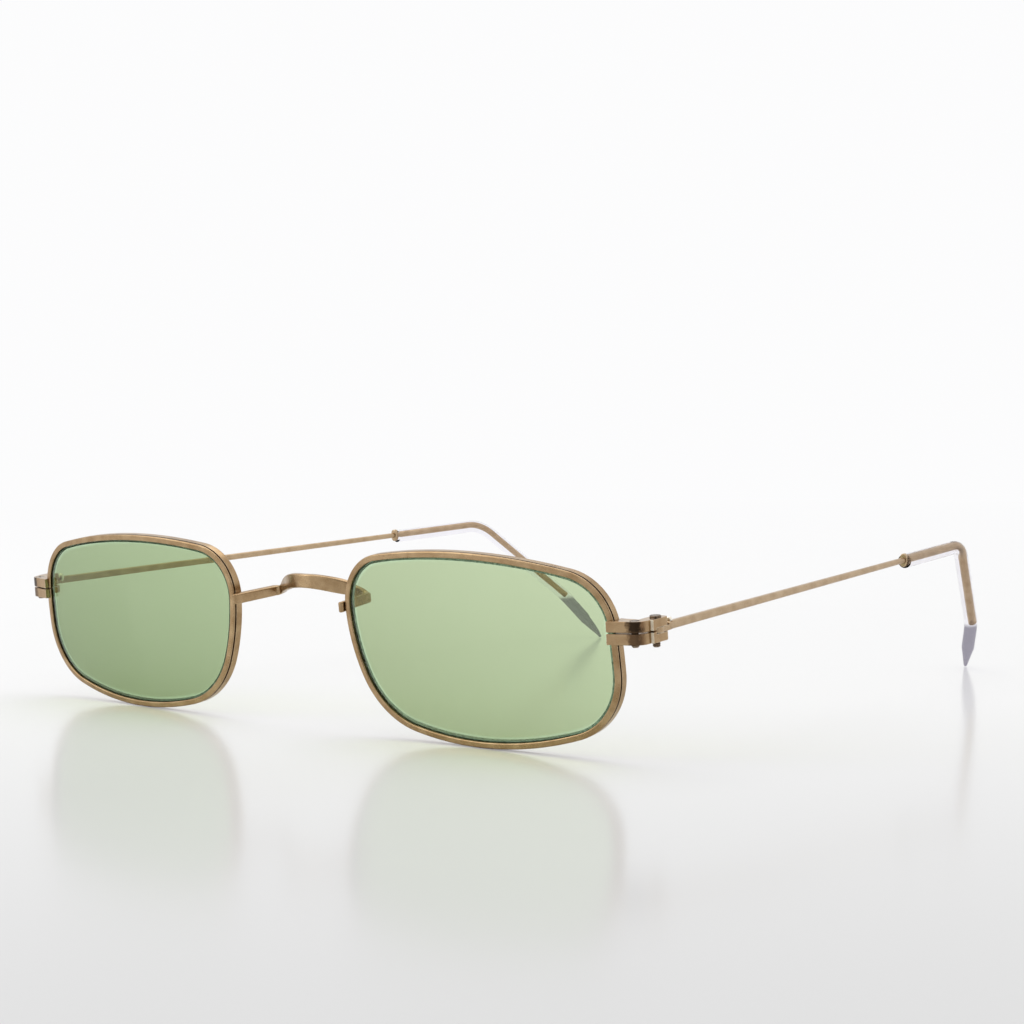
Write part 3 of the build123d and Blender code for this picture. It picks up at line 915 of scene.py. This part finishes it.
DARK_STEEL = PlatedMetal(
    "browned_steel",
    colour=(0.20, 0.135, 0.085),
    shade=(0.10, 0.065, 0.04),
    rubbed=(0.72, 0.64, 0.54),
    hollow_shade_colour=(0.03, 0.02, 0.012),
    roughness=0.24,
)
# Real braze beads, coloured near-white: a painted highlight.
HIGHLIGHT_BRAZE = PlatedMetal(
    "braze_painted_highlight",
    colour=(0.95, 0.91, 0.82),
    shade=(0.84, 0.77, 0.64),
    rubbed=(0.96, 0.93, 0.87),
    hollow_shade_colour=(0.05, 0.03, 0.016),
    roughness=0.28,
    hollow_shade_share=0.0,
)
LENSES = {
    Side.LEFT: LensGlass(
        "sage_glass_left",
        light=(0.590, 0.702, 0.460),
        deep=(0.362, 0.458, 0.253),
        shadow_tint=(0.90, 0.93, 0.52),
        middle=(35.7 * MM, 0.0, 14.0 * MM),
    ),
    Side.RIGHT: LensGlass(
        "sage_glass_right",
        light=(0.445, 0.562, 0.335),
        deep=(0.232, 0.318, 0.152),
        shadow_tint=(0.82, 0.86, 0.46),
        middle=(-35.7 * MM, 0.0, 14.0 * MM),
    ),
}
CLEAR_SLEEVE = ClearPlastic(
    "clear_sleeve_plastic", tint=(0.93, 0.92, 0.96), shadow_tint=(0.80, 0.80, 0.83)
)


def dress(name: str, material: bpy.types.Material) -> None:
    """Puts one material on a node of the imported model.

    Args:
        name: The node's name.
        material: The material.
    """
    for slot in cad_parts[name].material_slots:
        slot.material = material
    log.info("dressed %s in %s", name, material.name)


@dataclass(frozen=True)
class TurnedPiece:
    """A small round or oval piece, made from a disc that is extruded ring by ring along its axis."""

    name: str
    start: Vector
    way: Vector
    half_width: float
    half_height: float
    corners: int = 24

    def build(self, rings: list[tuple[float, float]]) -> bpy.types.Object:
        """Makes the piece, closed at both ends.

        Args:
            rings: How far along the axis each ring is, and its size as a share of the widest.

        Returns:
            The new piece.
        """
        bpy.ops.object.select_all(action="DESELECT")
        first, share = rings[0]
        middle = self.start + self.way * first
        turn = self.way.to_track_quat("Z", "Y").to_euler()
        bpy.ops.mesh.primitive_circle_add(
            vertices=self.corners,
            radius=self.half_width * share,
            fill_type="NGON",
            location=middle,
            rotation=turn,
        )
        piece = bpy.context.object
        piece.name = self.name
        bpy.ops.object.transform_apply(location=True, rotation=True, scale=True)
        bpy.ops.object.mode_set(mode="EDIT")
        bpy.ops.mesh.select_mode(type="FACE")
        bpy.ops.mesh.select_all(action="SELECT")
        taller = (1.0, 1.0, self.half_height / self.half_width)
        bpy.ops.transform.resize(value=taller, center_override=middle)
        for along, size in rings[1:]:
            step = self.way * (along - first)
            bpy.ops.mesh.extrude_region_move(TRANSFORM_OT_translate={"value": step})
            middle = middle + step
            bpy.ops.transform.resize(value=(size / share,) * 3, center_override=middle)
            first, share = along, size
        bpy.ops.mesh.select_all(action="SELECT")
        bpy.ops.mesh.normals_make_consistent(inside=False)
        bpy.ops.object.mode_set(mode="OBJECT")
        return piece


def ring_middle(node: str, way: Vector) -> Vector:
    """The middle of the ring that ends a node, on the side that a direction points away from.

    Args:
        node: The node's name.
        way: The direction, along the node's axis.

    Returns:
        The ring's middle.
    """
    corners = [vertex.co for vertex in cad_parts[node].data.vertices]
    lowest = min(corner.dot(way) for corner in corners)
    ring = [corner for corner in corners if corner.dot(way) < lowest + RING_DEPTH]
    return Vector((min(c[axis] for c in ring) + max(c[axis] for c in ring)) / 2 for axis in range(3))


@dataclass
class ScrewThreads:
    """The thread that shows on the bare lower ends of the hinge screws and the closing screws."""

    radius: float = 0.56 * MM
    root_share: float = 0.86
    pitch: float = 0.22 * MM
    crest_start: float = 0.42
    crest_end: float = 0.58
    start: float = 0.12 * MM
    tilt: float = 5.0
    turns: dict[str, int] = field(default_factory=lambda: {"hinge": 3, "closing": 1})

    def build(self, material: bpy.types.Material) -> None:
        """Makes one thread for each screw.

        Args:
            material: The screws' finish.
        """
        lean = math.radians(self.tilt)
        up = Vector((0.0, -math.sin(lean), math.cos(lean)))
        for side in Side:
            for kind, turns in self.turns.items():
                foot = ring_middle(side.node(f"{kind}_screw"), up)
                rings = [(self.start, self.root_share)]
                for turn in range(turns):
                    root = self.start + turn * self.pitch
                    rings.append((root + self.pitch * self.crest_start, 1.0))
                    rings.append((root + self.pitch * self.crest_end, 1.0))
                    rings.append((root + self.pitch, self.root_share))
                name = side.node(f"{kind}_thread")
                thread = TurnedPiece(name, foot, up, self.radius, self.radius).build(rings)
                thread.data.materials.append(material)
                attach(thread, "front")
                log.info("cut %s", name)


@dataclass
class TempleBeads:
    """The beads of braze where each temple wire joins the root of its tongue; their near-white colour is a
    painted highlight.
    """

    half_width: float = 0.56 * MM
    half_height: float = 0.69 * MM
    before: float = 0.10 * MM
    smooth_angle: float = 60.0
    shape: tuple[tuple[float, float], ...] = (
        (0.0, 0.62),
        (0.05 * MM, 0.82),
        (0.13 * MM, 0.95),
        (0.25 * MM, 1.0),
        (0.4 * MM, 1.0),
        (0.52 * MM, 0.95),
        (0.6 * MM, 0.82),
        (0.65 * MM, 0.62),
    )

    def build(self, material: bpy.types.Material) -> None:
        """Makes both beads.

        Args:
            material: The braze, coloured near-white as a painted highlight.
        """
        for side in Side:
            wire = side.node("temple_wire")
            foot = ring_middle(wire, Vector((0.0, 1.0, 0.0)))
            collar = sum(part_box(side.node("tip_collar")), Vector()) / 2
            way = (collar - foot).normalized()
            name = side.node("temple_bead")
            start = foot - way * self.before
            bead = TurnedPiece(name, start, way, self.half_width, self.half_height).build(list(self.shape))
            bpy.ops.object.shade_smooth_by_angle(angle=math.radians(self.smooth_angle))
            bead.data.materials.append(material)
            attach(bead, side.temple_body)
            log.info("brazed %s", name)


@dataclass
class TipSleeves:
    """The clear sleeves, cast on the ends of the temple wires with no air between."""

    weld: float = 0.001 * MM
    bore_gap: float = 0.14 * MM
    smooth_angle: float = 40.0

    def build(self, material: bpy.types.Material) -> None:
        """Makes both sleeves.

        Args:
            material: The clear plastic.
        """
        for side in Side:
            sleeve = self.solid_copy(side)
            sleeve.data.materials.clear()
            sleeve.data.materials.append(material)
            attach(sleeve, side.temple_body)
            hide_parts(side.node("tip_sleeve"))
            log.info("cast %s", sleeve.name)

    def solid_copy(self, side: Side) -> bpy.types.Object:
        """Copies a sleeve and closes its bore, so that the wire in it shows as large as it does in plastic.

        Args:
            side: The side.

        Returns:
            The new piece.
        """
        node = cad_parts[side.node("tip_sleeve")]
        sleeve = bpy.data.objects.new(side.node("sleeve"), node.data.copy())
        bpy.context.scene.collection.objects.link(sleeve)
        bpy.ops.object.select_all(action="DESELECT")
        sleeve.select_set(True)
        bpy.context.view_layer.objects.active = sleeve
        bpy.ops.mesh.customdata_custom_splitnormals_clear()
        bpy.ops.object.mode_set(mode="EDIT")
        bpy.ops.mesh.select_mode(type="FACE")
        bpy.ops.mesh.select_all(action="SELECT")
        bpy.ops.mesh.remove_doubles(threshold=self.weld)
        bpy.ops.mesh.select_all(action="DESELECT")
        bpy.ops.object.mode_set(mode="OBJECT")
        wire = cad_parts[side.node("temple_wire")].data
        near_wire = BVHTree.FromPolygons(
            [vertex.co for vertex in wire.vertices], [tuple(face.vertices) for face in wire.polygons]
        )
        for face in sleeve.data.polygons:
            corners = [sleeve.data.vertices[index].co for index in face.vertices]
            gaps = [near_wire.find_nearest(corner)[3] for corner in corners]
            face.select = max(gaps) < self.bore_gap
        bpy.ops.object.mode_set(mode="EDIT")
        bpy.ops.mesh.delete(type="FACE")
        bpy.ops.mesh.select_mode(type="EDGE")
        bpy.ops.mesh.select_all(action="DESELECT")
        bpy.ops.mesh.select_non_manifold()
        bpy.ops.mesh.edge_face_add()
        bpy.ops.object.mode_set(mode="OBJECT")
        bpy.ops.object.shade_smooth_by_angle(angle=math.radians(self.smooth_angle))
        return sleeve


@dataclass(frozen=True)
class Lamp:
    """A square area lamp: where it hangs, what it faces, the length of its side and its power."""

    name: str
    place: Place
    aim: Place
    size: float
    watts: float

    def hang(self) -> None:
        """Adds the lamp to the scene."""
        data = bpy.data.lights.new(self.name, "AREA")
        data.size = self.size
        data.energy = self.watts
        lamp = bpy.data.objects.new(self.name, data)
        bpy.context.scene.collection.objects.link(lamp)
        lamp.location = self.place
        way = Vector(self.aim) - Vector(self.place)
        lamp.rotation_euler = way.to_track_quat("-Z", "Y").to_euler()


LAMPS = (
    Lamp("overhead", place=(-0.25, 0.15, 0.9), aim=(0.0, 0.0, 0.0), size=0.9, watts=3.2),
    Lamp("front_left", place=(-0.7, -0.8, 0.5), aim=(0.0, 0.0, 0.02), size=0.6, watts=2.2),
)


@dataclass
class Studio:
    """The pale floor, the white world, the soft lamps and the camera."""

    floor_drop: float = 0.06 * MM
    floor_size: float = 24.0
    lens_length: float = 79.86
    sensor_width: float = 36.0
    clip_start: float = 0.01
    camera_place: Vector = field(default_factory=lambda: Vector((241.42, -309.93, 49.44)) * MM)
    camera_right: Vector = field(default_factory=lambda: Vector((0.7756, 0.6312, -0.0017)))
    camera_up: Vector = field(default_factory=lambda: Vector((-0.0298, 0.0394, 0.9988)))
    screen_way: Vector = field(default_factory=lambda: Vector((0.63, -0.765, 0.13)))
    screen_band: Band = (math.cos(math.radians(24)), math.cos(math.radians(11)))
    screen_colour: Colour = (0.035, 0.03, 0.028)
    mirrored_colour: Colour = (0.98, 0.98, 0.985)
    world_strength: float = 0.62

    def build(self) -> None:
        """Makes the whole studio."""
        self.make_floor()
        self.make_world()
        for lamp in LAMPS:
            lamp.hang()
            log.info("hung %s", lamp.name)
        self.make_camera()

    def make_floor(self) -> None:
        """Adds the floor, a plane just below what the glasses stand on."""
        bpy.ops.object.select_all(action="DESELECT")
        top = CAD_BOX[0][2] - self.floor_drop
        bpy.ops.mesh.primitive_plane_add(size=self.floor_size, location=(0, 0, top))
        floor = bpy.context.object
        floor.name = "floor"
        floor.data.materials.append(StudioFloor().build())

    def make_world(self) -> None:
        """Lights everything evenly and shows plain white behind it, with a dark screen round the camera."""
        world = bpy.data.worlds.new("studio_world")
        bpy.context.scene.world = world
        world.use_nodes = True
        world.node_tree.nodes.clear()
        tree = Tree(world.node_tree)
        light = tree.add("ShaderNodeBackground", Strength=self.world_strength)
        light.inputs["Color"].default_value = (1.0, 1.0, 1.0, 1.0)
        white = tree.add("ShaderNodeBackground", Strength=1.0)
        white.inputs["Color"].default_value = (*BACKDROP_WHITE, 1.0)
        mirrored = tree.add("ShaderNodeBackground", Strength=1.0)
        seen_way = tree.add("ShaderNodeTexCoord").outputs["Generated"]
        dark = tree.spread(tree.reach(seen_way, self.screen_way.normalized()), *self.screen_band)
        tree.join(tree.blend(dark, self.mirrored_colour, self.screen_colour), mirrored.inputs["Color"])
        behind = tree.mix_shaders(tree.rays(Ray.CAMERA, Ray.THROUGH), light.outputs[0], white.outputs[0])
        tree.add("ShaderNodeOutputWorld")
        tree.show(tree.mix_shaders(tree.rays(Ray.GLOSSY), behind, mirrored.outputs[0]))

    def make_camera(self) -> None:
        """Sets the camera where the photograph was taken from."""
        data = bpy.data.cameras.new("camera")
        data.lens = self.lens_length
        data.sensor_width = self.sensor_width
        data.clip_start = self.clip_start
        camera = bpy.data.objects.new("camera", data)
        bpy.context.scene.collection.objects.link(camera)
        right = self.camera_right.normalized()
        back = right.cross(self.camera_up).normalized()
        up = back.cross(right)
        turn = Matrix((right, up, back)).transposed().to_4x4()
        camera.matrix_world = Matrix.Translation(self.camera_place) @ turn
        bpy.context.scene.camera = camera


def main() -> None:
    """Builds the glasses' finishes and pieces, then the studio."""
    bpy.context.scene.view_settings.view_transform = "Standard"
    effects = EffectGroups.build()
    champagne = CHAMPAGNE.build(effects)
    pale = PALE_CHAMPAGNE.build(effects)
    block = BLOCK_CHAMPAGNE.build(effects)
    steel = DARK_STEEL.build(effects)
    dress("bridge", champagne)
    for side in Side:
        dress(side.node("rim"), champagne)
        for name in ("upper_endpiece", "lower_endpiece"):
            dress(side.node(name), block)
        for name in ("temple_wire", "hinge_tongue", "tip_collar"):
            dress(side.node(name), pale)
        for name in ("closing_screw", "hinge_screw"):
            dress(side.node(name), steel)
        dress(side.node("lens"), LENSES[side].build(effects))
    ScrewThreads().build(steel)
    TempleBeads().build(HIGHLIGHT_BRAZE.build(effects))
    TipSleeves().build(CLEAR_SLEEVE.build(effects))
    Studio().build()


if __name__ == "__main__":
    main()
